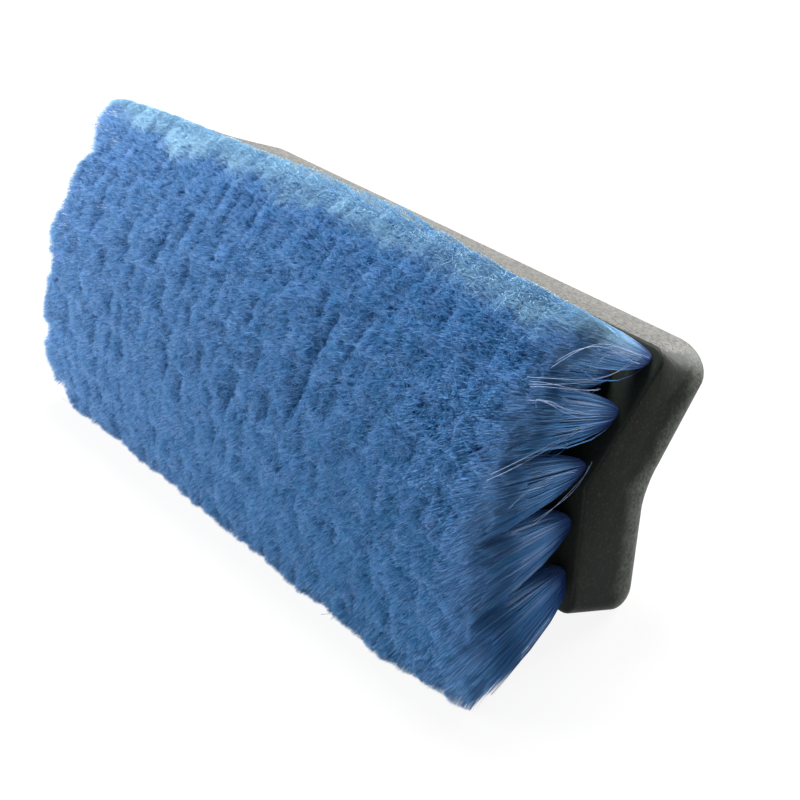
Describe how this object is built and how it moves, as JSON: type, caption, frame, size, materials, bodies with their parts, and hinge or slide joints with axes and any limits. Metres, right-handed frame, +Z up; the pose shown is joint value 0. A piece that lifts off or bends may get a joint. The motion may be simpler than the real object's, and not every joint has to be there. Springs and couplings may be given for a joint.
{
  "type": "scrub brush",
  "caption": "Bi-level scrub brush head: a chevron block of moulded foam plastic with rows of soft bristles in fanned tufts and a pole socket in the back.",
  "frame": {"origin": "centre of the bounding box's footprint, on the floor that the brush lies on", "axes": "+X along the block, -Y the way the bristles point, +Z up as the brush lies on its lower bristle tips and the block's lower back edge"},
  "size_m": [0.2576, 0.1122, 0.1243],
  "materials": {
    "block_foam_plastic": "moulded structural foam, dark grey, faintly speckled",
    "bristle_blue_1": "soft synthetic bristle, split at the tips",
    "bristle_blue_2": "soft synthetic bristle, split at the tips",
    "bristle_blue_3": "soft synthetic bristle, split at the tips",
    "bristle_blue_4": "soft synthetic bristle, split at the tips",
    "bristle_blue_5": "soft synthetic bristle, split at the tips",
    "bristle_blue_6": "soft synthetic bristle, split at the tips",
    "bristle_blue_7": "soft synthetic bristle, split at the tips",
    "bristle_blue_8": "soft synthetic bristle, split at the tips",
    "bristle_blue_9": "soft synthetic bristle, split at the tips",
    "bristle_blue_10": "soft synthetic bristle, split at the tips"
  },
  "bodies": {
    "root": {"block": "block_foam_plastic", "bristle_row_1": "bristle_blue_1", "bristle_row_2": "bristle_blue_2", "bristle_row_3": "bristle_blue_3", "bristle_row_4": "bristle_blue_4", "bristle_row_5": "bristle_blue_5", "bristle_row_6": "bristle_blue_6", "bristle_row_7": "bristle_blue_7", "bristle_row_8": "bristle_blue_8", "bristle_row_9": "bristle_blue_9", "bristle_row_10": "bristle_blue_10"}
  },
  "joints": []
}
